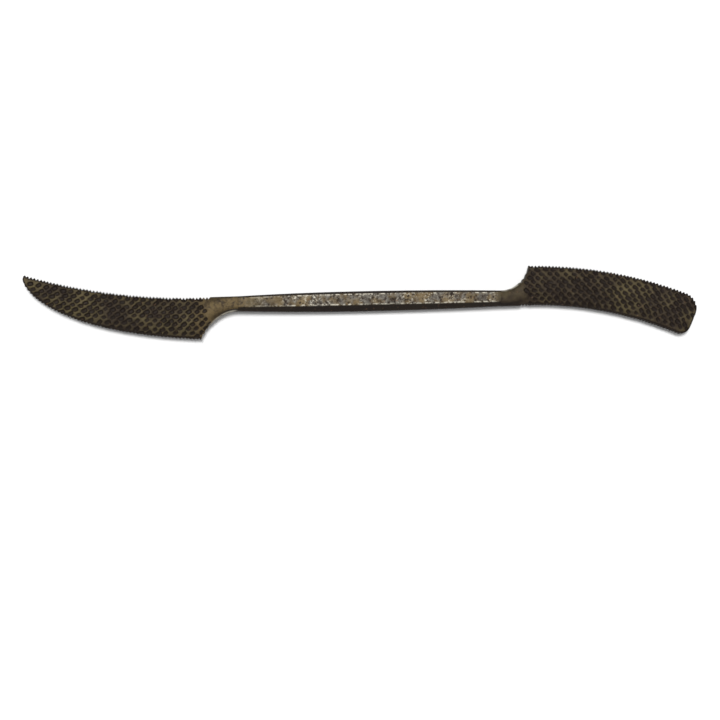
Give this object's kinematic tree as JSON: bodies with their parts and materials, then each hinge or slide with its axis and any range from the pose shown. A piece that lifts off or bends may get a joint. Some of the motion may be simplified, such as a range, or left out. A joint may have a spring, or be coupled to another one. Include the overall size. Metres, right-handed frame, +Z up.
{
  "type": "riffler file",
  "caption": "Double-ended riffler rasp: one flat steel forging with a bevelled shank, a curved knife-shaped leaf and a curved round-ended leaf, both stitched with raised teeth.",
  "frame": {"origin": "centre of the shank's underside, midway between the two heel corners", "axes": "+X along the tool towards the round-ended leaf, +Y towards the side the knife leaf curls to, +Z up from the underside to the front face"},
  "size_m": [0.1999, 0.0215, 0.005],
  "materials": {
    "stitched_steel": "dark brown-black patina over stitched rasp teeth, pits darker, tooth tips rubbed brighter",
    "brown_steel": "smooth forged steel with an even brown patina",
    "worn_steel": "grey hand-worn flats with fine pitting and bright specks, nearly black on the bevels"
  },
  "bodies": {
    "root": {"knife_leaf": "stitched_steel", "knife_neck": "brown_steel", "shank": "worn_steel", "round_neck": "brown_steel", "round_leaf": "stitched_steel"}
  },
  "joints": []
}
